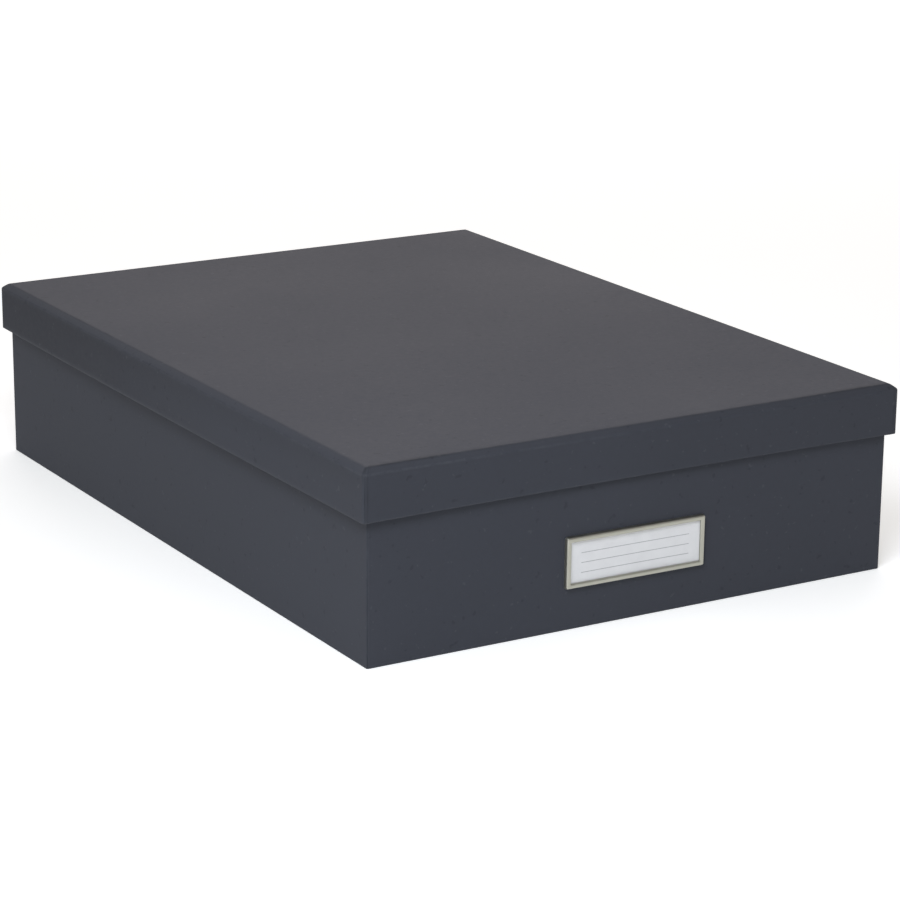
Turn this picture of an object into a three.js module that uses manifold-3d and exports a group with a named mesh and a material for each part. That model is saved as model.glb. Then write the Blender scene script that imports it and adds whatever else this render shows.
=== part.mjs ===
// Lift-off-lid document box of paper-wrapped fibreboard, with a stamped metal
// label holder on one short side.
// Millimetres, +Z up. The origin is the centre of the footprint, on the surface
// the box stands on. The label side faces -Y; the long sides face -X and +X.
import * as THREE from 'three';
import { mergeVertices } from 'three/addons/utils/BufferGeometryUtils.js';
import Module from 'manifold-3d';

// ---------------------------------------------------------------- dimensions
// whole box
const LID_X = 260.0;          // lid, outside, across the short side
const LID_Y = 355.0;          // lid, outside, along the long side
const HEIGHT = 82.8;          // floor to lid top
const BOARD = 1.8;            // wrapped board, all walls and panels
const FOLD_SEG = 4;           // facets on each vertical corner

// lid
const SKIRT = 22.0;           // lid top to rim
const LID_R = 1.2;           // vertical corner, outside
const LID_R_TOP = 0.7;       // corner of the flat top, inside the bevel
const BEVEL_IN = 2.9;         // double crease along the top: width on the top
const BEVEL_DOWN = 2.2;       //                              drop on the skirt
const CREASE_SOFT = 0.3;      // rounding of each of the two creases
const LID_FILLET = 0.8;       // inside corner between top panel and skirt

// base
const BASE_X = 253.0;         // outside
const BASE_Y = 348.8;
const BASE_H = HEIGHT - BOARD;// the rim meets the underside of the lid's top
const BASE_R = 1.0;          // vertical corner, outside
const BASE_FOOT = 0.5;       // folded bottom edge
const BASE_FILLET = 0.5;      // inside corner between floor and wall

// turned-in rim, both trays
const RIM = 0.45;             // how far the wrapped edge is rounded off

// label holder
const TAG_X = -1.3;           // centre on the front wall
const TAG_Z = 28.6;
const TAG_TILT = 0.3;         // degrees, clockwise seen from the front
const TAG_W = 67.8;           // frame, outside
const TAG_H = 21.9;
const TAG_OPEN_W = 63.4;      // window
const TAG_OPEN_H = 17.6;
const TAG_PROUD = 1.9;        // how far the frame stands off the wall
const SHEET = 0.35;           // sheet metal
const TAG_R = 0.9;            // outer corner seen from the front
const TAG_EDGE = 0.45;        // rounded bend between flange and return
const LIP = 0.9;              // inner lip, turned back towards the card
const PRONG_AT = 22.0;        // prongs at +/- this, on the top and bottom returns
const PRONG_W = 5.0;
const PRONG_LEG = 5.6;        // length clinched flat on the inside of the wall
const SLIT_CLEAR = 0.2;       // round a prong in its slit
const SEAT = 0.02;            // air between metal and paper

// card behind the window
const CARD_W = 66.4;
const CARD_H = 20.4;
const CARD_T = 0.3;
const CARD_BACK = 0.62;       // its back face off the wall

// ------------------------------------------------------------------- solids
const wasm = await Module();
wasm.setup();

function toSolid(geometry) {
  const g = geometry.clone();
  for (const name of Object.keys(g.attributes)) if (name !== 'position') g.deleteAttribute(name);
  const m = mergeVertices(g, 1e-4);
  return new wasm.Manifold(new wasm.Mesh({
    numProp: 3,
    vertProperties: new Float32Array(m.attributes.position.array),
    triVerts: new Uint32Array(m.index.array),
  }));
}

function toGeometry(solid) {
  const mesh = solid.getMesh();
  const g = new THREE.BufferGeometry();
  g.setAttribute('position', new THREE.BufferAttribute(new Float32Array(mesh.vertProperties), 3));
  g.setIndex(new THREE.BufferAttribute(new Uint32Array(mesh.triVerts), 1));
  g.computeVertexNormals();
  return g;
}

// rounded rectangle, counter-clockwise, the same number of points for any radius
function outline(hx, hy, r) {
  const s = new THREE.Shape();
  s.moveTo(-hx + r, -hy);
  s.lineTo(hx - r, -hy);
  s.absarc(hx - r, -hy + r, r, -Math.PI / 2, 0, false);
  s.lineTo(hx, hy - r);
  s.absarc(hx - r, hy - r, r, 0, Math.PI / 2, false);
  s.lineTo(-hx + r, hy);
  s.absarc(-hx + r, hy - r, r, Math.PI / 2, Math.PI, false);
  s.lineTo(-hx, -hy + r);
  s.absarc(-hx + r, -hy + r, r, Math.PI, Math.PI * 1.5, false);
  const raw = s.getPoints(FOLD_SEG);
  const pts = [];
  for (const p of raw) {
    const q = pts[pts.length - 1];
    if (!q || q.distanceTo(p) > 1e-5) pts.push(p);
  }
  if (pts[0].distanceTo(pts[pts.length - 1]) < 1e-5) pts.pop();
  return pts;
}

// closed solid through level sections [half x, half y, corner radius, z], rising
function loft(sections) {
  const rings = sections.map(([hx, hy, r]) => outline(hx, hy, r));
  const n = rings[0].length;
  const pos = [];
  const idx = [];
  rings.forEach((ring, k) => {
    if (ring.length !== n) throw new Error('sections differ in their number of points');
    for (const p of ring) pos.push(p.x, p.y, sections[k][3]);
  });
  for (let k = 0; k + 1 < rings.length; k++) {
    for (let i = 0; i < n; i++) {
      const j = (i + 1) % n;
      const a = k * n + i, b = k * n + j, c = (k + 1) * n + j, d = (k + 1) * n + i;
      idx.push(a, b, c, a, c, d);
    }
  }
  const top = (rings.length - 1) * n;
  for (const [a, b, c] of THREE.ShapeUtils.triangulateShape(rings[0], [])) idx.push(c, b, a);
  for (const [a, b, c] of THREE.ShapeUtils.triangulateShape(rings[rings.length - 1], [])) {
    idx.push(top + a, top + b, top + c);
  }
  const g = new THREE.BufferGeometry();
  g.setAttribute('position', new THREE.Float32BufferAttribute(pos, 3));
  g.setIndex(idx);
  return toSolid(g);
}

function section(hx, hy, r, inset, z) {
  return [hx - inset, hy - inset, Math.max(r - inset, 0.25), z];
}

function block(x0, x1, y0, y1, z0, z1) {
  const g = new THREE.BoxGeometry(x1 - x0, y1 - y0, z1 - z0);
  g.translate((x0 + x1) / 2, (y0 + y1) / 2, (z0 + z1) / 2);
  return g;
}

// the label holder is drawn flat: x to the right, y up the wall, z off the wall;
// this stands it on the front wall with its small tilt
const tagToBox = new THREE.Matrix4()
  .makeTranslation(TAG_X, -BASE_Y / 2, TAG_Z)
  .multiply(new THREE.Matrix4().makeRotationY(THREE.MathUtils.degToRad(TAG_TILT)))
  .multiply(new THREE.Matrix4().makeRotationX(Math.PI / 2));

// ------------------------------------------------------------------ box base
// one blank folded up into a tray, its rim wrapped and turned in
function makeBase() {
  const hx = BASE_X / 2, hy = BASE_Y / 2;
  const ix = hx - BOARD, iy = hy - BOARD, ir = 0.6;
  const outer = loft([
    section(hx, hy, BASE_R, BASE_FOOT, 0),
    section(hx, hy, BASE_R, BASE_FOOT * 0.29, BASE_FOOT * 0.29),
    section(hx, hy, BASE_R, 0, BASE_FOOT),
    section(hx, hy, BASE_R, 0, BASE_H - RIM),
    section(hx, hy, BASE_R, RIM * 0.29, BASE_H - RIM * 0.29),
    section(hx, hy, BASE_R, RIM, BASE_H),
  ]);
  const hollow = loft([
    section(ix, iy, ir + 0.3, BASE_FILLET, BOARD),
    section(ix, iy, ir, 0, BOARD + BASE_FILLET),
    section(ix, iy, ir, 0, BASE_H - RIM),
    section(ix, iy, ir, -RIM * 0.29, BASE_H - RIM * 0.29),
    section(ix, iy, ir, -RIM, BASE_H),
    section(ix, iy, ir, -RIM, BASE_H + 2),
  ]);
  let tray = outer.subtract(hollow);
  // slits for the four prongs of the label holder
  for (const sx of [-1, 1]) {
    for (const sy of [-1, 1]) {
      const yo = TAG_H / 2 + SLIT_CLEAR, yi = TAG_H / 2 - SHEET - SLIT_CLEAR;
      const g = block(
        sx * PRONG_AT - PRONG_W / 2 - SLIT_CLEAR, sx * PRONG_AT + PRONG_W / 2 + SLIT_CLEAR,
        sy > 0 ? yi : -yo, sy > 0 ? yo : -yi, -BOARD - 1, 1);
      g.applyMatrix4(tagToBox);
      tray = tray.subtract(toSolid(g));
    }
  }
  return toGeometry(tray);
}

// ----------------------------------------------------------------------- lid
// one shallow tray turned over the base, creased twice along each top edge
function makeLid() {
  const hx = LID_X / 2, hy = LID_Y / 2;
  const z0 = HEIGHT - SKIRT;
  const ix = hx - BOARD, iy = hy - BOARD, ir = 0.6;
  const bevelAt = (t, z) => [hx - BEVEL_IN * t, hy - BEVEL_IN * t,
    LID_R + (LID_R_TOP - LID_R) * Math.min(t, 1), z];
  const s = CREASE_SOFT;
  const outer = loft([
    section(hx, hy, LID_R, RIM, z0),
    section(hx, hy, LID_R, RIM * 0.29, z0 + RIM * 0.29),
    section(hx, hy, LID_R, 0, z0 + RIM),
    bevelAt(0, HEIGHT - BEVEL_DOWN - s),
    bevelAt(0.07, HEIGHT - BEVEL_DOWN + s * 0.6),
    bevelAt(0.9, HEIGHT - s * 0.8),
    bevelAt(1.1, HEIGHT),
  ]);
  const zi = HEIGHT - BOARD;
  const hollow = loft([
    section(ix, iy, ir, -RIM, z0 - 2),
    section(ix, iy, ir, -RIM, z0),
    section(ix, iy, ir, -RIM * 0.29, z0 + RIM * 0.29),
    section(ix, iy, ir, 0, z0 + RIM),
    section(ix, iy, ir, 0, zi - LID_FILLET),
    section(ix, iy, ir + 0.4, LID_FILLET, zi),
  ]);
  return toGeometry(outer.subtract(hollow));
}

// --------------------------------------------------------------- label frame
// one stamping: flange, outer return, inner lip and four prongs
function makeFrame() {
  const w = TAG_W / 2, h = TAG_H / 2, ow = TAG_OPEN_W / 2, oh = TAG_OPEN_H / 2;
  const top = TAG_PROUD, e = TAG_EDGE;
  const body = loft([
    [w, h, TAG_R, SEAT],
    [w, h, TAG_R, top - e],
    [w - e * 0.29, h - e * 0.29, TAG_R - e * 0.29, top - e * 0.29],
    [w - e, h - e, TAG_R - e, top],
  ]);
  const windowCut = loft([
    [ow, oh, 0.3, -1],
    [ow, oh, 0.3, top - 0.3],
    [ow + 0.09, oh + 0.09, 0.35, top - 0.09],
    [ow + 0.3, oh + 0.3, 0.45, top],
    [ow + 0.3, oh + 0.3, 0.45, top + 1],
  ]);
  const back = loft([
    [w - SHEET, h - SHEET, TAG_R - SHEET, -1],
    [w - SHEET, h - SHEET, TAG_R - SHEET, top - LIP],
  ]);
  const channel = loft([
    [w - SHEET, h - SHEET, TAG_R - SHEET, top - LIP - 0.2],
    [w - SHEET, h - SHEET, TAG_R - SHEET, top - SHEET],
  ]).subtract(loft([
    [ow + SHEET, oh + SHEET, 0.3 + SHEET, top - LIP - 1],
    [ow + SHEET, oh + SHEET, 0.3 + SHEET, top + 1],
  ]));
  let frame = body.subtract(windowCut).subtract(back).subtract(channel);

  const zIn = -BOARD - SEAT;              // inner face of the wall
  for (const sx of [-1, 1]) {
    for (const sy of [-1, 1]) {
      const x = sx * PRONG_AT, hw = PRONG_W / 2;
      const shank = block(x - hw, x + hw,
        sy > 0 ? h - SHEET : -h, sy > 0 ? h : -h + SHEET, zIn - SHEET, 0.5);
      // leg, bent towards the middle of the frame, with a cut-back tip
      const y = (d) => sy * (h - d);
      const leg = new THREE.Shape();
      leg.moveTo(x - hw, y(0));
      leg.lineTo(x + hw, y(0));
      leg.lineTo(x + hw, y(PRONG_LEG - 1.2));
      leg.lineTo(x + hw - 1.2, y(PRONG_LEG));
      leg.lineTo(x - hw + 1.2, y(PRONG_LEG));
      leg.lineTo(x - hw, y(PRONG_LEG - 1.2));
      leg.closePath();
      const g = new THREE.ExtrudeGeometry(leg, { depth: SHEET, bevelEnabled: false });
      g.translate(0, 0, zIn - SHEET);
      frame = frame.add(toSolid(shank)).add(toSolid(g));
    }
  }
  const g = toGeometry(frame);
  g.applyMatrix4(tagToBox);
  return g;
}

// ---------------------------------------------------------------- label card
// plain card, sprung in behind the lip; it stands on the lower return
function makeCard() {
  const lift = -TAG_H / 2 + SHEET + 0.05;
  const c = new THREE.Shape();
  c.moveTo(-CARD_W / 2, lift);
  c.lineTo(CARD_W / 2, lift);
  c.lineTo(CARD_W / 2, lift + CARD_H);
  c.lineTo(-CARD_W / 2, lift + CARD_H);
  c.closePath();
  const g = new THREE.ExtrudeGeometry(c, { depth: CARD_T, bevelEnabled: false });
  g.translate(0, 0, CARD_BACK);
  g.applyMatrix4(tagToBox);
  return toGeometry(toSolid(g));
}

// --------------------------------------------------------------- scene graph
function piece(name, geometry, color, roughness, metalness) {
  const mesh = new THREE.Mesh(geometry, new THREE.MeshStandardMaterial({ color, roughness, metalness }));
  mesh.name = name;
  return mesh;
}

const base = new THREE.Group();
base.add(piece('box_base', makeBase(), 0x3d4048, 0.72, 0.0));
base.add(piece('label_frame', makeFrame(), 0xa9ab9c, 0.34, 1.0));
base.add(piece('label_card', makeCard(), 0xe9eaec, 0.8, 0.0));

const lid = new THREE.Group();
lid.add(piece('lid', makeLid(), 0x44464e, 0.7, 0.0));

const group = new THREE.Group();
group.add(base, lid);

export default group;
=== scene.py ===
import math

import bmesh
import bpy
import numpy as np
from mathutils import Matrix, Vector, noise


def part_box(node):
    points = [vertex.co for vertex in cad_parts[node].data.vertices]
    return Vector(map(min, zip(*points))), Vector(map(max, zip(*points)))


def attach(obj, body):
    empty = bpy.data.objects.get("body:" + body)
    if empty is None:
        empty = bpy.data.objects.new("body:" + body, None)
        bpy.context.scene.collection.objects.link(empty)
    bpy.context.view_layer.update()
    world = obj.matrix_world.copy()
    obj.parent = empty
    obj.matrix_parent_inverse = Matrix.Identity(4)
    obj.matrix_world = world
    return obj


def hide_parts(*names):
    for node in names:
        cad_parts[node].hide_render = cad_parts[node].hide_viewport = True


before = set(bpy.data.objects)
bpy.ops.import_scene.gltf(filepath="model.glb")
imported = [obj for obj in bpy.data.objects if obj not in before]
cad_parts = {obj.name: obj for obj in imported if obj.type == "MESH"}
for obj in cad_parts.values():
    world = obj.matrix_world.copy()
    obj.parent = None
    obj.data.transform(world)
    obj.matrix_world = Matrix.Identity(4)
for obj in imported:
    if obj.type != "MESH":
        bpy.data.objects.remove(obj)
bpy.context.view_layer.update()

MM = 0.001

# ------------------------------------------------------------------ dimensions
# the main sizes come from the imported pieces, in mm
lid_lo, lid_hi = (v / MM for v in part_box("lid"))
base_lo, base_hi = (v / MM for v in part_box("box_base"))
tag_lo, tag_hi = (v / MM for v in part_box("label_frame"))

LID_HX, LID_HY = lid_hi.x, lid_hi.y
LID_Z0, TOP_Z = lid_lo.z, lid_hi.z
BASE_HX, BASE_HY, BASE_H = base_hi.x, base_hi.y, base_hi.z
BOARD = 1.8
LID_R, LID_R_TOP = 1.2, 0.7
BEVEL_IN, BEVEL_DOWN = 2.9, 2.2
BASE_R = 1.0
RIM = 0.45
TAG_X, TAG_Z, TAG_TILT = -1.3, 28.6, math.radians(0.3)
TAG_W, TAG_H = 67.8, 21.9
TAG_OPEN_W, TAG_OPEN_H = 63.4, 17.6
TAG_PROUD, SHEET, LIP = 1.9, 0.35, 0.9
PRONG_AT, PRONG_W, PRONG_LEG = 22.0, 5.0, 5.6
CARD_W, CARD_H, CARD_T, CARD_BACK = 66.4, 20.4, 0.3, 0.62

WRAP = 0.14              # thickness of the wrapping paper where it laps over itself
LID_LAPS = (7 / 9, 0.8)   # on the lid it stops in two steps: in the corner, and past it
BASE_LAP = 5 / 9         # on the base it stops in the middle of the corner


# ---------------------------------------------------------------- mesh helpers
class Build:
    """Collects points, faces and a few per-point masks, all in mm."""

    def __init__(self):
        self.co, self.faces = [], []
        self.masks = {"worn": [], "seam": [], "inside": [], "pale": [], "painted_skirt_shade": []}

    def point(self, co, worn=0.0, seam=0.0, inside=0.0, pale=0.0, painted_skirt_shade=0.0):
        self.co.append(co)
        self.masks["painted_skirt_shade"].append(painted_skirt_shade)
        self.masks["pale"].append(pale)
        self.masks["worn"].append(worn)
        self.masks["seam"].append(seam)
        self.masks["inside"].append(inside)
        return len(self.co) - 1

    def make(self, name, smooth=True):
        mesh = bpy.data.meshes.new(name)
        mesh.from_pydata([tuple(c * MM for c in p) for p in self.co], [], self.faces)
        mesh.validate()
        bm = bmesh.new()
        bm.from_mesh(mesh)
        bmesh.ops.recalc_face_normals(bm, faces=bm.faces)
        for e in bm.edges:                      # cut edges stay crisp
            if len(e.link_faces) == 2 and e.calc_face_angle() > math.radians(50):
                e.smooth = False
        bm.to_mesh(mesh)
        bm.free()
        for key, values in self.masks.items():
            if any(values):
                a = mesh.attributes.new(key, "FLOAT", "POINT")
                a.data.foreach_set("value", np.array(values, np.float32))
        if smooth:
            mesh.polygons.foreach_set("use_smooth", [True] * len(mesh.polygons))
        mesh.update()
        ob = bpy.data.objects.new(name, mesh)
        bpy.context.scene.collection.objects.link(ob)
        if smooth:
            m = ob.modifiers.new("even_normals", "WEIGHTED_NORMAL")
            m.mode = "FACE_AREA"
            m.weight = 80
            m.keep_sharp = True
        return ob


def spread(length, ends, step, extra=()):
    """Distances along a side: close together at both ends, about `step` between."""
    left = [d for d in ends if d < length / 2 - 1]
    mid0, mid1 = left[-1], length - left[-1]
    n = max(1, round((mid1 - mid0) / step))
    mids = [mid0 + (mid1 - mid0) * k / n for k in range(1, n)]
    out = left + mids + [length - d for d in reversed(left)]
    for e in extra:
        out = [d for d in out if abs(d - e) > 1.2] + [e]
    return sorted(out)


def stations(hx, hy, r, extra_front=(), nc=9):
    """Points round a rounded rectangle, counter-clockwise from the front left
    corner. Each is (side, how far along it as x or y, or the corner's angle)."""
    lap = LID_LAPS[1]
    ends = [0.0, 0.35, lap - 0.12, lap, lap + 0.12, 1.8, 3.2, 6.0, 11.0]
    out = []
    lx, ly = 2 * (hx - r), 2 * (hy - r)
    ex = [x + hx - r for x in extra_front]
    for d in spread(lx, ends, 13.0, ex):
        out.append(("front", d - lx / 2))
    for k in range(1, nc):
        out.append(("c0", k / nc))
    for d in spread(ly, ends, 13.0):
        out.append(("right", d - ly / 2))
    for k in range(1, nc):
        out.append(("c1", k / nc))
    for d in spread(lx, ends, 13.0):
        out.append(("back", -(d - lx / 2)))
    for k in range(1, nc):
        out.append(("c2", k / nc))
    for d in spread(ly, ends, 13.0):
        out.append(("left", -(d - ly / 2)))
    for k in range(1, nc):
        out.append(("c3", k / nc))
    return out


CORNERS = {"c0": (1, -1, -90), "c1": (1, 1, 0), "c2": (-1, 1, 90), "c3": (-1, -1, 180)}


def place(st, hx, hy, r, ref):
    """Where a station lies on a ring of another size. ref is (half x, half y, r) of
    the ring the stations were measured on. Returns x, y and the outward normal."""
    side, t = st
    if side in CORNERS:
        sx, sy, a0 = CORNERS[side]
        a = math.radians(a0 + 90 * t)
        return (sx * (hx - r) + r * math.cos(a), sy * (hy - r) + r * math.sin(a),
                math.cos(a), math.sin(a))
    if side in ("front", "back"):
        x = t * (hx - r) / (ref[0] - ref[2]) if abs(t) > ref[0] - ref[2] - 30 else t
        s = -1 if side == "front" else 1
        return x, s * hy, 0.0, float(s)
    y = t * (hy - r) / (ref[1] - ref[2]) if abs(t) > ref[1] - ref[2] - 30 else t
    s = -1 if side == "left" else 1
    return s * hx, y, float(s), 0.0


def end_distance(st, ref):
    """Distance from a point on a straight side to the nearer corner arc."""
    side, t = st
    if side in CORNERS:
        return 0.0
    half = (ref[0] if side in ("front", "back") else ref[1]) - ref[2]
    return half - abs(t)


def paper_edge(kind, st, ref):
    """How much the short-side paper covers here (0 to 1), and whether its cut edge
    lies here. The long-side paper runs under it round the corner."""
    side, t = st
    if side in ("left", "right"):
        return 0.0, 0.0
    f = t if side in ("c3", "c1") else 1 - t       # 1 at the short side
    if kind == "base":
        if side not in CORNERS:
            return 1.0, 0.0
        return (0.0, 1.0) if abs(f - BASE_LAP) < 0.02 else (float(f > BASE_LAP),
                                                              0.8 * (abs(f - BASE_LAP) < 0.13))
    if side in CORNERS:
        return (0.0, 1.0) if abs(f - LID_LAPS[0]) < 0.02 else (0.4 * (f > LID_LAPS[0]),
                                                                0.4 * (abs(f - LID_LAPS[0]) < 0.13))
    d = end_distance(st, ref)
    if abs(d - LID_LAPS[1]) < 0.02:
        return 0.4, 0.9
    return (1.0 if d > LID_LAPS[1] else 0.4), 0.4 * (abs(d - LID_LAPS[1]) < 0.14)


def arc(p0, p1, p2, n):
    """A soft fold: quadratic curve from p0 round p1 to p2."""
    out = []
    for k in range(n + 1):
        t = k / n
        out.append(tuple((1 - t) ** 2 * a + 2 * t * (1 - t) * b + t * t * c
                         for a, b, c in zip(p0, p1, p2)))
    return out


def smooth01(x):
    x = min(1.0, max(0.0, x))
    return x * x * (3 - 2 * x)


def wave(x, y, z, scale, seed):
    return noise.noise(Vector((x / scale + seed, y / scale - seed * 0.7, z / scale + seed * 0.3)))


# ------------------------------------------------------------------------ trays
def tray(kind, rings, ref, sts, warp, cap_first, cap_last, cut=None):
    """rings: list of dicts with hx, hy, r, z and masks. Walks from the first cap,
    over the outside, the rim and the inside, to the last cap."""
    b = Build()
    idx = []
    for ring in rings:
        row = []
        for st in sts:
            x, y, nx, ny = place(st, ring["hx"], ring["hy"], ring["r"], ref)
            z = ring["z"]
            cover, edge = paper_edge(kind, st, ref)
            if ring["face"] == "out":
                x += nx * cover * WRAP * ring["lap"]
                y += ny * cover * WRAP * ring["lap"]
            x, y, z = warp(st, x, y, z, nx, ny, ring)
            if kind == "base":                       # tighter shut in its upper part
                edge *= 0.45 + 0.55 * smooth01((46 - z) / 18)
            else:                                    # and on the lid most open low down
                edge *= 0.5 + 0.5 * math.exp(-((z - 68.5) / 4.5) ** 2)
            seam = max(ring["seam"], edge * (ring["face"] == "out") * min(1.0, 1.5 * ring["lap"]))
            worn = ring["worn"]
            if st[0] in ("front", "back"):
                # painted shade along the upper crease of the short sides, stronger towards the corners
                near = smooth01((abs(x) - 70) / 45)      # towards the corners
                seam = max(seam, ring["short_seam"] * (0.4 + 0.6 * near))
                # wear and painted highlight on the front and back, stronger towards one end of each
                worn *= 0.45 + 0.8 * smooth01((20 - x * (1 if st[0] == "front" else -1)) / 90)
            if st[0] in CORNERS:
                worn = max(worn, ring["corner_worn"] * math.sin(math.pi * st[1]))
                # painted shade at the folded corners of the lid
                seam = max(seam, ring["knot"] * math.sin(math.pi * st[1]))
            # painted light, stronger on the long sides and towards the back
            pale = ring["pale"] * (0.5 + 0.65 * smooth01((y + 170) / 330)
                                   if st[0] in ("left", "right") else 0.2)
            painted_skirt_shade = 0.0
            if kind == "lid" and st[0] == "left" and ring["face"] == "out":
                # painted shade: the long skirt is darker to the back and below its fold
                painted_skirt_shade = min(1.0, 0.9 * smooth01((y + 60) / 200) + 0.35 * smooth01((z - TOP_Z + 12) / 8))
                painted_skirt_shade *= smooth01((TOP_Z - BEVEL_DOWN - z) / 1.5)
            row.append(b.point((x, y, z), worn, seam, 1.0 if ring["face"] == "in" else 0.0, pale, painted_skirt_shade))
        idx.append(row)
    n = len(sts)
    for k in range(len(rings) - 1):
        for i in range(n):
            j = (i + 1) % n
            if cut and cut(k, i, j, rings, sts):
                continue
            b.faces.append((idx[k][j], idx[k][i], idx[k + 1][i], idx[k + 1][j]))
    if cap_first:
        b.faces.append(tuple(idx[0]))
    if cap_last:
        b.faces.append(tuple(reversed(idx[-1])))
    return b, idx


def ring(hx, hy, r, z, face="out", lap=1.0, worn=0.0, seam=0.0, short_seam=0.0, corner_worn=0.35,
         pale=0.0, knot=0.0):
    return dict(knot=knot, hx=hx, hy=hy, r=r, z=z, face=face, lap=lap, worn=worn, seam=seam,
                short_seam=short_seam, corner_worn=corner_worn, pale=pale)


def make_lid():
    ref = (LID_HX, LID_HY, LID_R)
    sts = stations(*ref)
    rings = []

    def at(inset, z, **kw):
        # the corner tightens towards the flat top
        t = min(1.0, max(0.0, inset / BEVEL_IN))
        r = LID_R + (LID_R_TOP - LID_R) * t
        rings.append(ring(LID_HX - inset, LID_HY - inset, r, z, **kw))

    phi = math.atan2(BEVEL_DOWN, BEVEL_IN)
    c, s = math.cos(phi), math.sin(phi)
    # flat top, then the upper crease
    at(9.0, TOP_Z, face="cap", lap=0.0, corner_worn=0.0)
    at(6.4, TOP_Z, face="cap", lap=0.0, corner_worn=0.0)
    # painted shade on the flat top next to the short sides' crease
    at(5.3, TOP_Z, face="cap", lap=0.0, corner_worn=0.0, short_seam=0.32)
    at(4.5, TOP_Z, face="cap", lap=0.0, corner_worn=0.0, short_seam=0.6)
    for k, (i, z) in enumerate(arc((3.9, TOP_Z), (BEVEL_IN, TOP_Z),
                                   (BEVEL_IN - 0.75 * c, TOP_Z - 0.75 * s), 6)):
        # the short-side paper ends along this crease
        # painted shade along this crease, strongest on the short sides, with painted light on its lower half
        at(i, z, lap=k / 6, worn=0.3 * math.sin(math.pi * k / 6), short_seam=(0.6, 0.7, 0.75, 0.8, 0.8, 0.4, 0.1)[k],
           pale=max(0.0, k - 3) / 3, knot=0.12 * k)
    # bevel between the creases, very slightly full; it is painted lighter as painted light, and darker at the
    # corners as painted shade
    for t in (0.35, 0.5, 0.65):
        i = BEVEL_IN * (1 - t)
        z = TOP_Z - BEVEL_DOWN * t
        bulge = 0.05 * math.sin(math.pi * t)
        at(i - bulge * s, z + bulge * c, worn=0.1, pale=1.0, knot=0.6)
    # lower crease, with a painted highlight along it, painted light above it and painted shade at the corners
    for k, (i, z) in enumerate(arc((0.62 * c, TOP_Z - BEVEL_DOWN + 0.62 * s),
                                   (0.0, TOP_Z - BEVEL_DOWN),
                                   (0.0, TOP_Z - BEVEL_DOWN - 0.9), 6)):
        at(i, z, worn=0.8 * math.sin(math.pi * k / 6), pale=max(0.0, 3 - k) / 3, knot=0.5)
    # painted shade at the corners near the top of the skirt, painted light just above the rim
    for z in (TOP_Z - 4.6, TOP_Z - 8.0, TOP_Z - 12.5, LID_Z0 + 5.0, LID_Z0 + 2.2, LID_Z0 + 0.9):
        at(0.0, z, knot=0.35 * (z > TOP_Z - 5), pale=0.3 * (z < LID_Z0 + 1))
    # rim: the paper goes round the board's edge; the rounding carries wear and a painted highlight, and is painted
    # lighter as painted light
    hx, hy = LID_HX, LID_HY
    for k, (i, z) in enumerate(arc((0.0, LID_Z0 + RIM), (0.0, LID_Z0), (RIM, LID_Z0), 4)):
        rings.append(ring(hx - i, hy - i, LID_R - i, z, worn=0.6 * math.sin(math.pi * (k + 1) / 6),
                          pale=0.5))
    ix, iy, ir = hx - BOARD, hy - BOARD, 0.6
    for k, (i, z) in enumerate(arc((-RIM, LID_Z0), (0.0, LID_Z0), (0.0, LID_Z0 + RIM), 4)):
        rings.append(ring(ix - i, iy - i, ir - i, z, face="in", worn=0.5 * math.sin(math.pi * (5 - k) / 6)))
    # inside: turned-in paper, its cut edge, then the lining up to the top
    rings.append(ring(ix, iy, ir, LID_Z0 + 3.0, face="in"))
    rings.append(ring(ix, iy, ir, LID_Z0 + 13.0, face="in"))
    rings.append(ring(ix, iy, ir, LID_Z0 + 14.0, face="in", seam=1.0))
    rings.append(ring(ix + 0.12, iy + 0.12, ir, LID_Z0 + 14.1, face="in", lap=0.0, seam=1.0))
    rings.append(ring(ix + 0.12, iy + 0.12, ir, LID_Z0 + 14.6, face="in", lap=0.0))
    zi = TOP_Z - BOARD
    for i, z in arc((-0.12, zi - 1.6), (-0.12, zi), (1.4, zi), 5):
        rings.append(ring(ix - i, iy - i, ir + 0.3, z, face="in", lap=0.0))
    rings.append(ring(ix - 7.0, iy - 7.0, ir + 0.3, zi, face="in", lap=0.0))

    def warp(st, x, y, z, nx, ny, rg):
        # the skirts are bent a little out of true: free at the rim, held at the fold
        free = smooth01((TOP_Z - BEVEL_DOWN - z) / (TOP_Z - BEVEL_DOWN - LID_Z0)) if rg["face"] != "cap" else 0.0
        u, v = x / LID_HX, y / LID_HY
        bow = 0.0
        if st[0] == "front":
            bow = -0.95 * (1 - u * u) ** 0.8
        elif st[0] == "back":
            bow = -0.6 * (1 - u * u)
        elif st[0] == "left":
            bow = 0.85 * max(0.0, 1 - (v - 0.12) ** 2 / 0.9) * (1 - v ** 8)
        elif st[0] == "right":
            bow = 0.45 * (1 - v * v)
        bow += 0.10 * wave(x, y, 0, 55.0, 3.1) * (1 - u ** 8 if abs(ny) > 0.5 else 1 - v ** 8)
        if st[0] == "front":
            z += 0.33 * (1 - u * u) * free        # its rim arches up a little
        return x + nx * bow * free, y + ny * bow * free, z

    b, _ = tray("lid", rings, ref, sts, warp, True, True)
    return b.make("lid_wrapped")


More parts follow.
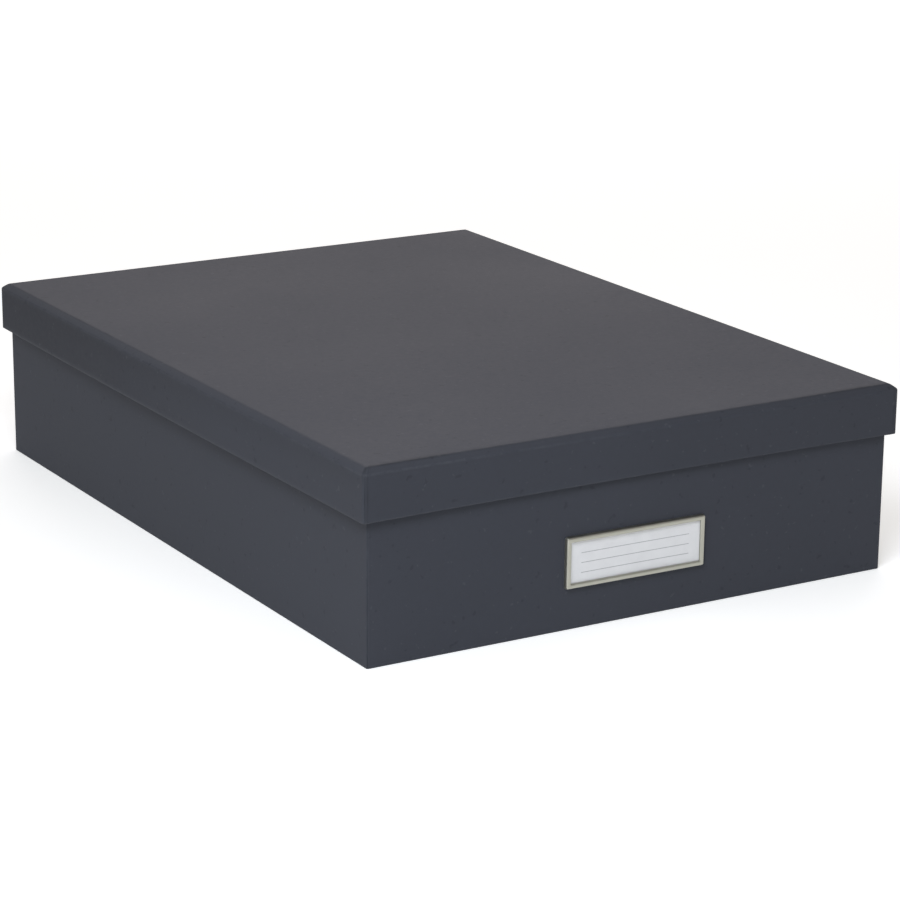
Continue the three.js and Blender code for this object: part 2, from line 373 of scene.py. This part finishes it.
def make_base():
    ref = (BASE_HX, BASE_HY, BASE_R)
    # wall columns and levels that bound the four slits for the prongs
    slit_x = []
    for s in (-1, 1):
        slit_x += [TAG_X + s * PRONG_AT - PRONG_W / 2 - 0.12, TAG_X + s * PRONG_AT + PRONG_W / 2 + 0.12]
    half = TAG_H / 2
    slit_z = [(TAG_Z - half + 0.03, TAG_Z - half + SHEET + 0.1),
              (TAG_Z + half - SHEET - 0.1, TAG_Z + half - 0.03)]
    sts = stations(*ref, extra_front=slit_x)
    hx, hy = BASE_HX, BASE_HY
    rings = [ring(hx - 9.0, hy - 9.0, BASE_R, 0.0, face="cap", lap=0.0, corner_worn=0.0)]
    for k, (i, z) in enumerate(arc((0.5, 0.0), (0.0, 0.0), (0.0, 0.5), 6)):
        rings.append(ring(hx - i, hy - i, BASE_R - i, z, lap=k / 6,
                          worn=0.75 * math.sin(math.pi * k / 6)))
    for z in (2.2, 6.0, 11.0, slit_z[0][0], slit_z[0][1], 24.0, 33.0, slit_z[1][0], slit_z[1][1],
              47.0, 54.0, 56.0, 57.5, 59.5, 62.0, 68.0, 74.0, 78.5):
        rings.append(ring(hx, hy, BASE_R, z))
    for k, (i, z) in enumerate(arc((0.0, BASE_H - RIM), (0.0, BASE_H), (RIM, BASE_H), 4)):
        rings.append(ring(hx - i, hy - i, BASE_R - i, z, worn=0.6 * math.sin(math.pi * (k + 1) / 6)))
    ix, iy, ir = hx - BOARD, hy - BOARD, 0.6
    for k, (i, z) in enumerate(arc((-RIM, BASE_H), (0.0, BASE_H), (0.0, BASE_H - RIM), 4)):
        rings.append(ring(ix - i, iy - i, ir - i, z, face="in", worn=0.5 * math.sin(math.pi * (5 - k) / 6)))
    rings.append(ring(ix, iy, ir, BASE_H - 4.0, face="in"))
    rings.append(ring(ix, iy, ir, BASE_H - 17.0, face="in"))
    rings.append(ring(ix, iy, ir, BASE_H - 18.0, face="in", seam=1.0))
    rings.append(ring(ix + 0.12, iy + 0.12, ir, BASE_H - 18.1, face="in", lap=0.0, seam=1.0))
    rings.append(ring(ix + 0.12, iy + 0.12, ir, BASE_H - 18.6, face="in", lap=0.0))
    for z in (54.0, 47.0, slit_z[1][1], slit_z[1][0], 33.0, 24.0, slit_z[0][1], slit_z[0][0], 11.0, 6.0):
        rings.append(ring(ix, iy, ir, z, face="in", lap=0.0))
    for i, z in arc((0.0, BOARD + 1.4), (0.0, BOARD), (1.4, BOARD), 5):
        rings.append(ring(ix - i, iy - i, ir + 0.3, z, face="in", lap=0.0))
    rings.append(ring(ix - 7.0, iy - 7.0, ir + 0.3, BOARD, face="in", lap=0.0))

    def warp(st, x, y, z, nx, ny, rg):
        if rg["face"] == "cap":
            return x, y, z
        if st[0] == "front" and abs(x - TAG_X) < 30 and 15 < z < 42:
            return x, y, z - (x - TAG_X) * math.sin(TAG_TILT)   # slits follow the holder's tilt
        u, v = x / BASE_HX, y / BASE_HY
        free = smooth01(z / BASE_H)
        w = (1 - u ** 8) if abs(ny) > 0.5 else (1 - v ** 8)
        bow = 0.0
        if abs(nx) > 0.9:
            bow = -0.25 * (1 - v * v)
        bow += 0.08 * wave(x, y, 0.3, 60.0, 7.7) * w
        if st[0] == "front":
            bow = 0.0
        return x + nx * bow * free, y + ny * bow * free, z

    spans = [(slit_x[0], slit_x[1]), (slit_x[2], slit_x[3])]

    def in_slit(k, i, j, rs, ss):
        if ss[i][0] != "front" or ss[j][0] != "front" or rs[k]["face"] != rs[k + 1]["face"]:
            return False
        x0, x1 = ss[i][1], ss[j][1]
        z0, z1 = sorted((rs[k]["z"], rs[k + 1]["z"]))
        return (any(a - 0.01 <= x0 and x1 <= c + 0.01 for a, c in spans)
                and any(a - 0.01 <= z0 and z1 <= c + 0.01 for a, c in slit_z))

    b, idx = tray("base", rings, ref, sts, warp, True, True, in_slit)
    # walls of the slits, joining the outside to the inside
    for za, zc in slit_z:
        ko = [k for k, r in enumerate(rings) if r["face"] == "out" and abs(r["z"] - za) < 1e-6][0]
        ki = [k for k, r in enumerate(rings) if r["face"] == "in" and abs(r["z"] - zc) < 1e-6][0]
        for xa, xc in spans:
            cols = [i for i, s in enumerate(sts) if s[0] == "front" and xa - 0.01 <= s[1] <= xc + 0.01]
            lo, hi = idx[ko], idx[ko + 1]
            ihi, ilo = idx[ki], idx[ki + 1]
            for i, j in zip(cols, cols[1:]):
                b.faces.append((lo[i], lo[j], ilo[j], ilo[i]))
                b.faces.append((hi[j], hi[i], ihi[i], ihi[j]))
            i, j = cols[0], cols[-1]
            b.faces.append((hi[i], lo[i], ilo[i], ihi[i]))
            b.faces.append((lo[j], hi[j], ihi[j], ilo[j]))
    return b.make("base_wrapped")


# ---------------------------------------------------------------- label holder
def to_wall(u, v, w):
    """Label holder coordinates (right, up, off the wall) to the box's, in mm."""
    c, s = math.cos(TAG_TILT), math.sin(TAG_TILT)
    return (TAG_X + u * c + v * s, -BASE_HY - w, TAG_Z - u * s + v * c)


def add_ring_sweep(b, profile, w, h, r0, nc=7):
    """Sweeps a closed profile of (inset, off the wall, wear and painted highlight) round a rectangle."""
    rows = []
    for inset, off, worn in profile:
        r = max(r0 - inset, 0.22)
        hw, hh = w - inset, h - inset
        row = []
        for sx, sy, a0 in ((1, -1, -90), (1, 1, 0), (-1, 1, 90), (-1, -1, 180)):
            for k in range(nc + 1):
                a = math.radians(a0 + 90 * k / nc)
                row.append(b.point(to_wall(sx * (hw - r) + r * math.cos(a),
                                           sy * (hh - r) + r * math.sin(a), off), worn))
        rows.append(row)
    n = len(rows[0])
    m = len(rows)
    for k in range(m):
        k2 = (k + 1) % m
        for i in range(n):
            j = (i + 1) % n
            b.faces.append((rows[k][i], rows[k][j], rows[k2][j], rows[k2][i]))


def make_frame():
    b = Build()
    p = TAG_PROUD
    prof = [(-0.2, 0.02, 0.0), (-0.1, 0.6, 0.0), (0.06, 1.2, 0.0)]
    # the outer and inner bends of the flange carry wear and a painted highlight
    prof += [(i, o, math.sin(math.pi * k / 5)) for k, (i, o) in
             enumerate(arc((0.14, p - 0.5), (0.26, p - 0.09), (0.66, p - 0.06), 5))]
    prof += [(1.0, p - 0.03, 0.0), (1.35, p, 0.0)]
    prof += [(i, o, 0.5 * math.sin(math.pi * k / 5)) for k, (i, o) in
             enumerate(arc((1.72, p - 0.05), (2.2, p - 0.1), (2.2, p - 0.55), 5))]
    prof += [(2.2, p - LIP, 0.0), (2.2 - SHEET, p - LIP, 0.0)]
    prof += [(i, o, 0.0) for i, o in arc((2.2 - SHEET, p - 0.6), (2.2 - SHEET, p - SHEET - 0.05),
                                         (1.55, p - SHEET), 3)]
    prof += [(1.0, p - SHEET, 0.0)]
    prof += [(i, o, 0.0) for i, o in arc((0.86, p - SHEET), (0.58, p - SHEET), (0.48, p - 0.7), 3)]
    prof += [(SHEET - 0.1, 0.6, 0.0), (SHEET - 0.2, 0.02, 0.0)]
    add_ring_sweep(b, prof, TAG_W / 2, TAG_H / 2, 0.9)
    # prongs: through the wall, bent flat against its inside
    t = SHEET
    z_in = -BOARD - 0.02
    h = TAG_H / 2
    for sx in (-1, 1):
        for sy in (-1, 1):
            # outer side of the strip, then its inner side, as (from the edge, off the wall)
            e = 0.012
            outer = [(e, 0.5), (e, z_in + 0.1)]
            outer += arc((e, z_in), (e, z_in - t), (t, z_in - t), 4)
            outer += [(PRONG_LEG - 1.2, z_in - t), (PRONG_LEG, z_in - t)]
            inner = [(t - e, 0.5), (t - e, z_in + 0.1)]
            inner += [(t - e + 0.02 * k, z_in) for k in range(5)]
            inner += [(PRONG_LEG - 1.2, z_in), (PRONG_LEG, z_in)]
            rows = []
            for m, (o, q) in enumerate(zip(outer, inner)):
                hw = PRONG_W / 2 - (1.2 if m == len(outer) - 1 else 0.0)
                row = []
                for u, (d, w) in ((-hw, o), (hw, o), (hw, q), (-hw, q)):
                    row.append(b.point(to_wall(sx * PRONG_AT + u, sy * (h - d), w)))
                rows.append(row)
            flip = sy < 0
            for k in range(len(rows) - 1):
                for i in range(4):
                    j = (i + 1) % 4
                    f = (rows[k][i], rows[k][j], rows[k + 1][j], rows[k + 1][i])
                    b.faces.append(tuple(reversed(f)) if flip else f)
            f = tuple(reversed(rows[0]))
            b.faces.append(tuple(reversed(f)) if flip else f)
            f = tuple(rows[-1])
            b.faces.append(tuple(reversed(f)) if flip else f)
    ob = b.make("label_frame_stamped")
    return ob


def make_card():
    b = Build()
    nx, ny = 24, 8
    lift = -TAG_H / 2 + SHEET + 0.05
    grid = {}
    for side in (0, 1):
        for i in range(nx + 1):
            for j in range(ny + 1):
                u = -CARD_W / 2 + CARD_W * i / nx
                v = lift + CARD_H * j / ny
                a = 2 * i / nx - 1
                bow = -0.22 * (1 - a * a)          # sprung back a little in the middle
                w = CARD_BACK + bow + (CARD_T if side else 0.0)
                grid[side, i, j] = b.point(to_wall(u, v, w))
    for i in range(nx):
        for j in range(ny):
            b.faces.append((grid[1, i, j], grid[1, i + 1, j], grid[1, i + 1, j + 1], grid[1, i, j + 1]))
            b.faces.append((grid[0, i, j + 1], grid[0, i + 1, j + 1], grid[0, i + 1, j], grid[0, i, j]))
    for i in range(nx):
        b.faces.append((grid[0, i, 0], grid[0, i + 1, 0], grid[1, i + 1, 0], grid[1, i, 0]))
        b.faces.append((grid[1, i, ny], grid[1, i + 1, ny], grid[0, i + 1, ny], grid[0, i, ny]))
    for j in range(ny):
        b.faces.append((grid[1, 0, j], grid[1, 0, j + 1], grid[0, 0, j + 1], grid[0, 0, j]))
        b.faces.append((grid[0, nx, j], grid[0, nx, j + 1], grid[1, nx, j + 1], grid[1, nx, j]))
    return b.make("label_card_insert", smooth=False)


# -------------------------------------------------------------------- materials
class Nodes:
    def __init__(self, name):
        self.mat = bpy.data.materials.new(name)
        self.mat.use_nodes = True
        self.t = self.mat.node_tree
        self.bsdf = self.t.nodes["Principled BSDF"]
        self.coord = self.t.nodes.new("ShaderNodeTexCoord").outputs["Object"]

    def link(self, a, b):
        self.t.links.new(a, b)

    def val(self, socket, v):
        if hasattr(v, "is_output"):
            self.link(v, socket)
        else:
            socket.default_value = v

    def scale(self, sx, sy, sz, rot=(0, 0, 0)):
        n = self.t.nodes.new("ShaderNodeMapping")
        n.inputs["Scale"].default_value = (sx, sy, sz)
        n.inputs["Rotation"].default_value = rot
        self.link(self.coord, n.inputs["Vector"])
        return n.outputs["Vector"]

    def noise(self, vec, scale, detail=3.0, rough=0.55, distort=0.0):
        n = self.t.nodes.new("ShaderNodeTexNoise")
        n.inputs["Scale"].default_value = scale
        n.inputs["Detail"].default_value = detail
        n.inputs["Roughness"].default_value = rough
        n.inputs["Distortion"].default_value = distort
        self.link(vec, n.inputs["Vector"])
        return n.outputs["Fac"]

    def math(self, op, a, b=0.0, c=0.0, clamp=False):
        n = self.t.nodes.new("ShaderNodeMath")
        n.operation = op
        n.use_clamp = clamp
        self.val(n.inputs[0], a)
        self.val(n.inputs[1], b)
        self.val(n.inputs[2], c)
        return n.outputs[0]

    def remap(self, v, a, b, c, d, smooth=False):
        n = self.t.nodes.new("ShaderNodeMapRange")
        n.interpolation_type = "SMOOTHSTEP" if smooth else "LINEAR"
        self.val(n.inputs["Value"], v)
        n.inputs["From Min"].default_value = a
        n.inputs["From Max"].default_value = b
        n.inputs["To Min"].default_value = c
        n.inputs["To Max"].default_value = d
        return n.outputs["Result"]

    def mix(self, fac, a, b):
        n = self.t.nodes.new("ShaderNodeMix")
        n.data_type = "RGBA"
        self.val(n.inputs["Factor"], fac)
        ins = [s for s in n.inputs if s.type == "RGBA"]
        self.val(ins[0], a)
        self.val(ins[1], b)
        return [o for o in n.outputs if o.type == "RGBA"][0]

    def attr(self, name):
        n = self.t.nodes.new("ShaderNodeAttribute")
        n.attribute_name = name
        return n.outputs["Fac"]

    def bump(self, height, strength, distance, normal=None):
        n = self.t.nodes.new("ShaderNodeBump")
        n.inputs["Strength"].default_value = strength
        n.inputs["Distance"].default_value = distance
        self.link(height, n.inputs["Height"])
        if normal is not None:
            self.link(normal, n.inputs["Normal"])
        return n.outputs["Normal"]


SLATE = (0.0446, 0.0485, 0.0612, 1)
SLATE_DARK = (0.0398, 0.0433, 0.0547, 1)
SLATE_WORN_AND_LIT = (0.0740, 0.0790, 0.0920, 1)
SLATE_PAINTED_LIGHT = (0.0620, 0.0660, 0.0790, 1)
SLATE_PAINTED_SHADE = (0.0290, 0.0315, 0.0400, 1)
SLATE_DEEP = (0.0150, 0.0170, 0.0220, 1)
SLATE_INSIDE = (0.0480, 0.0525, 0.0650, 1)


def paper_material(name, seed, painted_shade_scale):
    m = Nodes(name)
    dark, slate = (tuple(v * painted_shade_scale for v in c[:3]) + (1,) for c in (SLATE_DARK, SLATE))
    here = m.scale(1, 1, 1, (0.31 * seed, 0.17, 0.23 * seed))
    cloud = m.noise(here, 9.0 + seed, 3.0, 0.5)                    # slow drift of tone
    flock = m.noise(here, 420.0, 4.0, 0.62)                        # paper formation
    grain = m.noise(here, 2600.0, 3.0, 0.6)                        # tooth of the paper
    fib_a = m.noise(m.scale(900, 140, 900, (0, 0, 0.5)), 1.0, 3.0, 0.6, 0.4)
    fib_b = m.noise(m.scale(140, 900, 900, (0.4, 0, -0.35)), 1.0, 3.0, 0.6, 0.4)
    fibres = m.math("MULTIPLY", fib_a, fib_b)
    worn = m.attr("worn")
    seam = m.attr("seam")
    inside = m.attr("inside")

    tone = m.math("ADD", m.math("MULTIPLY", cloud, 0.5), m.math("MULTIPLY", flock, 0.5))
    col = m.mix(m.remap(tone, 0.35, 0.65, 0, 1), dark, slate)
    # painted shade darkens the long left skirt; the folded strip between the two creases and the rim are painted a
    # little paler, as painted light
    col = m.mix(m.math("MULTIPLY", m.attr("painted_skirt_shade"), 0.9), col, SLATE_PAINTED_SHADE)
    col = m.mix(m.math("MULTIPLY", m.attr("pale"), m.remap(cloud, 0.3, 0.7, 0.85, 1.0)), col, SLATE_PAINTED_LIGHT)
    col = m.mix(m.math("MULTIPLY", inside, 0.6), col, SLATE_INSIDE)
    # pale fibres, thin and short
    hair = m.remap(fibres, 0.36, 0.50, 0, 1, True)
    col = m.mix(m.math("MULTIPLY", hair, 0.16), col, SLATE_WORN_AND_LIT)
    # a few small pits and specks in the paper
    pit = m.remap(m.noise(here, 300.0, 1.0, 0.5), 0.69, 0.76, 0, 1, True)
    speck = m.remap(m.noise(m.scale(1, 1, 1, (0.9, 0.4, 0.2)), 420.0, 1.0, 0.5), 0.71, 0.77, 0, 1, True)
    col = m.mix(m.math("MULTIPLY", pit, 0.3), col, SLATE_DEEP)
    col = m.mix(m.math("MULTIPLY", speck, 0.35), col, SLATE_WORN_AND_LIT)
    # rubbed edges and painted highlights on the creases and rims, broken up so that no edge is one even line
    rub = m.math("MULTIPLY", worn, m.remap(m.noise(here, 160.0, 4.0, 0.7), 0.36, 0.66, 0.15, 1.0, True))
    col = m.mix(m.math("MULTIPLY", rub, 0.42), col, SLATE_WORN_AND_LIT)
    # dark line where one paper stops on another, and painted shade along the creases and at the folded corners
    line = m.math("MULTIPLY", seam, m.remap(m.noise(here, 90.0, 2.0, 0.5), 0.3, 0.6, 0.45, 1.0))
    col = m.mix(m.math("MULTIPLY", line, 0.75), col, SLATE_DEEP)
    m.link(col, m.bsdf.inputs["Base Color"])

    rough = m.math("ADD", m.remap(flock, 0.3, 0.7, 0.67, 0.74), m.remap(cloud, 0.3, 0.7, -0.02, 0.02))
    rough = m.math("ADD", rough, m.math("MULTIPLY", rub, -0.08))
    m.link(rough, m.bsdf.inputs["Roughness"])

    height = m.math("ADD", m.math("MULTIPLY", grain, 0.35), m.math("MULTIPLY", flock, 0.4))
    height = m.math("ADD", height, m.math("MULTIPLY", fibres, 0.5))
    n1 = m.bump(height, 0.35, 0.00006)
    slow = m.noise(here, 16.0, 2.0, 0.5)                           # board not quite flat
    n2 = m.bump(slow, 0.25, 0.0004, n1)
    m.link(n2, m.bsdf.inputs["Normal"])
    m.bsdf.inputs["Specular IOR Level"].default_value = 0.17
    m.bsdf.inputs["IOR"].default_value = 1.5
    return m.mat


def metal_material():
    m = Nodes("nickel_satin")
    here = m.scale(1, 1, 1)
    worn = m.attr("worn")
    brush = m.noise(m.scale(60, 900, 2600), 1.0, 4.0, 0.6)
    blot = m.noise(here, 130.0, 3.0, 0.55)
    col = m.mix(m.remap(blot, 0.3, 0.7, 0, 1), (0.414, 0.410, 0.352, 1), (0.450, 0.445, 0.386, 1))
    # the bends are painted lighter: wear and painted highlight
    col = m.mix(m.math("MULTIPLY", worn, 0.35), col, (0.56, 0.555, 0.50, 1))
    m.link(col, m.bsdf.inputs["Base Color"])
    rough = m.math("ADD", m.remap(brush, 0.3, 0.7, 0.34, 0.44), m.remap(blot, 0.3, 0.7, -0.03, 0.03))
    m.link(rough, m.bsdf.inputs["Roughness"])
    m.bsdf.inputs["Metallic"].default_value = 1.0
    height = m.math("ADD", m.math("MULTIPLY", brush, 0.6), m.math("MULTIPLY", blot, 0.4))
    m.link(m.bump(height, 0.25, 0.00003), m.bsdf.inputs["Normal"])
    return m.mat


def card_material():
    m = Nodes("label_card_paper")
    here = m.scale(1, 1, 1)
    sep = m.t.nodes.new("ShaderNodeSeparateXYZ")
    m.link(m.coord, sep.inputs[0])
    fine = m.noise(here, 2200.0, 3.0, 0.6)
    soft = m.noise(here, 260.0, 3.0, 0.55)
    col = m.mix(m.remap(soft, 0.3, 0.7, 0, 1), (0.682, 0.687, 0.700, 1), (0.714, 0.719, 0.731, 1))
    # ruled writing lines, along the card's own tilt
    up = m.math("ADD", m.math("SUBTRACT", sep.outputs["Z"], TAG_Z * MM),
                m.math("MULTIPLY", m.math("SUBTRACT", sep.outputs["X"], TAG_X * MM), math.sin(TAG_TILT)))
    ink = None
    for v in (3.6, -0.6, -4.8):
        d = m.math("ABSOLUTE", m.math("SUBTRACT", up, v * MM))
        one = m.remap(d, 0.00008, 0.00020, 1.0, 0.0, True)
        ink = one if ink is None else m.math("MAXIMUM", ink, one)
    span = m.math("ABSOLUTE", m.math("SUBTRACT", sep.outputs["X"], TAG_X * MM))
    ink = m.math("MULTIPLY", ink, m.remap(span, 0.0262, 0.0266, 1.0, 0.0))
    ink = m.math("MULTIPLY", ink, m.remap(fine, 0.3, 0.6, 0.6, 0.9))
    col = m.mix(ink, col, (0.26, 0.27, 0.29, 1))
    m.link(col, m.bsdf.inputs["Base Color"])
    m.link(m.remap(soft, 0.3, 0.7, 0.58, 0.68), m.bsdf.inputs["Roughness"])
    height = m.math("ADD", m.math("MULTIPLY", fine, 0.6), m.math("MULTIPLY", soft, 0.4))
    m.link(m.bump(height, 0.2, 0.00003), m.bsdf.inputs["Normal"])
    m.bsdf.inputs["Specular IOR Level"].default_value = 0.35
    return m.mat


# --------------------------------------------------------------------- assembly
lid = make_lid()
base = make_base()
tag = make_frame()
card = make_card()

# the lid's copy of the paper is 5% darker: painted shade
paper_lid = paper_material("slate_paper_lid", 1.0, 0.95)
paper_base = paper_material("slate_paper_base", 2.0, 1.0)
metal = metal_material()
white = card_material()
for ob, mat in ((lid, paper_lid), (base, paper_base), (tag, metal), (card, white)):
    ob.data.materials.append(mat)

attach(lid, "lid")
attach(base, "base")
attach(tag, "base")
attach(card, "base")
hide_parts("lid")
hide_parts("box_base")
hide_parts("label_frame")
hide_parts("label_card")

# ------------------------------------------------------------- floor and lights
floor_mesh = bpy.data.meshes.new("floor")
F = 9.0
floor_mesh.from_pydata([(-F, -F, 0), (F, -F, 0), (F, F, 0), (-F, F, 0)], [], [(0, 1, 2, 3)])
floor = bpy.data.objects.new("floor", floor_mesh)
bpy.context.scene.collection.objects.link(floor)
fm = Nodes("studio_floor")
fm.link(fm.mix(fm.noise(fm.scale(1, 1, 1), 3.0, 2.0), (0.90, 0.90, 0.905, 1), (0.92, 0.92, 0.92, 1)),
        fm.bsdf.inputs["Base Color"])
fm.bsdf.inputs["Roughness"].default_value = 0.9
fm.bsdf.inputs["Specular IOR Level"].default_value = 0.1
fm.bsdf.inputs["Emission Color"].default_value = (0.99, 1, 0.98, 1)
fm.bsdf.inputs["Emission Strength"].default_value = 0.37
floor.data.materials.append(fm.mat)

world = bpy.data.worlds.new("studio")
bpy.context.scene.world = world
world.use_nodes = True
bg = world.node_tree.nodes["Background"]
bg.inputs["Color"].default_value = (1.04, 1.0, 0.955, 1)
wt = world.node_tree                       # soft light from overhead, less from the sides
wsep = wt.nodes.new("ShaderNodeSeparateXYZ")
wt.links.new(wt.nodes.new("ShaderNodeTexCoord").outputs["Generated"], wsep.inputs[0])
wmap = wt.nodes.new("ShaderNodeMapRange")
wmap.interpolation_type = "SMOOTHSTEP"
wt.links.new(wsep.outputs["Z"], wmap.inputs["Value"])
wmap.inputs["From Min"].default_value = 0.3
wmap.inputs["From Max"].default_value = 0.8
wmap.inputs["To Min"].default_value = 0.15
wmap.inputs["To Max"].default_value = 0.52
wt.links.new(wmap.outputs[0], bg.inputs["Strength"])


def softbox(name, at, look, size, power, color=(1, 1, 1)):
    data = bpy.data.lights.new(name, "AREA")
    data.shape = "RECTANGLE"
    data.size, data.size_y = size
    data.energy = power
    data.color = color
    ob = bpy.data.objects.new(name, data)
    bpy.context.scene.collection.objects.link(ob)
    ob.location = at
    ob.rotation_euler = (Vector(look) - Vector(at)).to_track_quat("-Z", "Y").to_euler()
    return ob


softbox("key", (-0.48, -0.58, 0.66), (-0.10, -0.17, 0.04), (0.37, 0.37), 4.72, (0.945, 1.0, 1.085))
softbox("fill", (-2.2, 0.5, 0.42), (-0.1, 0.0, 0.04), (2.4, 0.7), 3.6, (1.0, 1.0, 0.99))
softbox("back", (1.5, 2.4, 1.0), (0, 0, 0.05), (2.6, 1.8), 34.8, (1.063, 1.0, 1.033))

# ----------------------------------------------------------------------- camera
cam_data = bpy.data.cameras.new("camera")
cam = bpy.data.objects.new("camera", cam_data)
bpy.context.scene.collection.objects.link(cam)
cam_data.sensor_fit = "HORIZONTAL"
cam_data.sensor_width = 36.0
CAM_F, CAM_AZ, CAM_EL, CAM_ROLL = 3059.4552, -30.84722, 16.38982, 0.4883
CAM_TX, CAM_TY, CAM_DIST = 12.84147, 25.4892, 1401.93957
cam_data.lens = CAM_F / 900 * 36
cam_data.clip_start, cam_data.clip_end = 0.05, 60
a, e, r = (math.radians(v) for v in (CAM_AZ, CAM_EL, CAM_ROLL))
back = Vector((math.sin(a) * math.cos(e), -math.cos(a) * math.cos(e), math.sin(e)))
right = Vector((0, 0, 1)).cross(back).normalized()
up = back.cross(right)
right2 = math.cos(r) * right + math.sin(r) * up
up2 = -math.sin(r) * right + math.cos(r) * up
loc = (right2 * CAM_TX + up2 * CAM_TY + back * CAM_DIST) * MM
cam.matrix_world = Matrix((
    (right2.x, up2.x, back.x, loc.x),
    (right2.y, up2.y, back.y, loc.y),
    (right2.z, up2.z, back.z, loc.z),
    (0, 0, 0, 1)))
bpy.context.scene.camera = cam

bpy.context.scene.view_settings.view_transform = "Standard"
bpy.context.scene.view_settings.look = "None"
